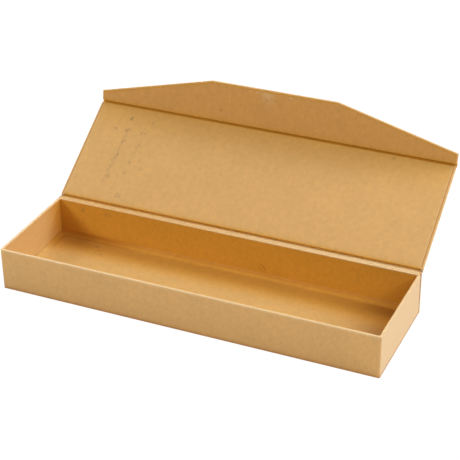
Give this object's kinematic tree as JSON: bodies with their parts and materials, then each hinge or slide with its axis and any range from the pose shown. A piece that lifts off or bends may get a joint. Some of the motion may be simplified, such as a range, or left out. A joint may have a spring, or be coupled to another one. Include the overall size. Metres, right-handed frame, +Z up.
{
  "type": "brush box",
  "caption": "Long shallow tray of kraft-covered board for brushes, with a hinged lid and a folding front flap that closes on a hidden magnet.",
  "frame": {"origin": "middle of the tray's underside, at the table", "axes": "+X along the box, +Y from the flap's side to the hinge at the back, +Z up"},
  "size_m": [0.355, 0.2071, 0.1379],
  "materials": {
    "kraft_cover": "matte brown kraft paper",
    "kraft_lining": "matte brown kraft paper",
    "grey_board": "bare grey board",
    "gummed_tape": "gummed paper tape",
    "plated_steel": "zinc-plated sheet steel",
    "nickel_plate": "nickel-plated disc magnet"
  },
  "bodies": {
    "tray": {"base_board": "grey_board", "front_wall_board": "grey_board", "back_wall_board": "grey_board", "left_wall_board": "grey_board", "right_wall_board": "grey_board", "corner_stays": "gummed_tape", "tray_wrap": "kraft_cover", "base_sheet": "kraft_cover", "floor_lining": "kraft_lining", "steel_disc": "plated_steel", "spine_board": "grey_board", "spine_cover": "kraft_cover", "spine_lining": "kraft_lining", "back_hinge_cover": "kraft_cover", "back_hinge_lining": "kraft_lining"},
    "lid": {"lid_board": "grey_board", "lid_cover": "kraft_cover", "lid_lining": "kraft_lining", "flap_hinge_cover": "kraft_cover", "flap_hinge_lining": "kraft_lining"},
    "flap": {"flap_board": "grey_board", "flap_cover": "kraft_cover", "flap_lining": "kraft_lining", "flap_magnet": "nickel_plate"}
  },
  "joints": [
    {"name": "lid_hinge", "type": "hinge", "parent": "tray", "child": "lid", "pos_m": [0, 0.05505, 0.0407], "axis": [1, 0, 0], "range_deg": [-33, 147], "deforming": ["back_hinge_cover", "back_hinge_lining"]},
    {"name": "flap_fold", "type": "hinge", "parent": "lid", "child": "flap", "pos_m": [0, 0.14803, 0.09894], "axis": [1, 0, 0], "range_deg": [-48, 42], "deforming": ["flap_hinge_cover", "flap_hinge_lining"]}
  ]
}
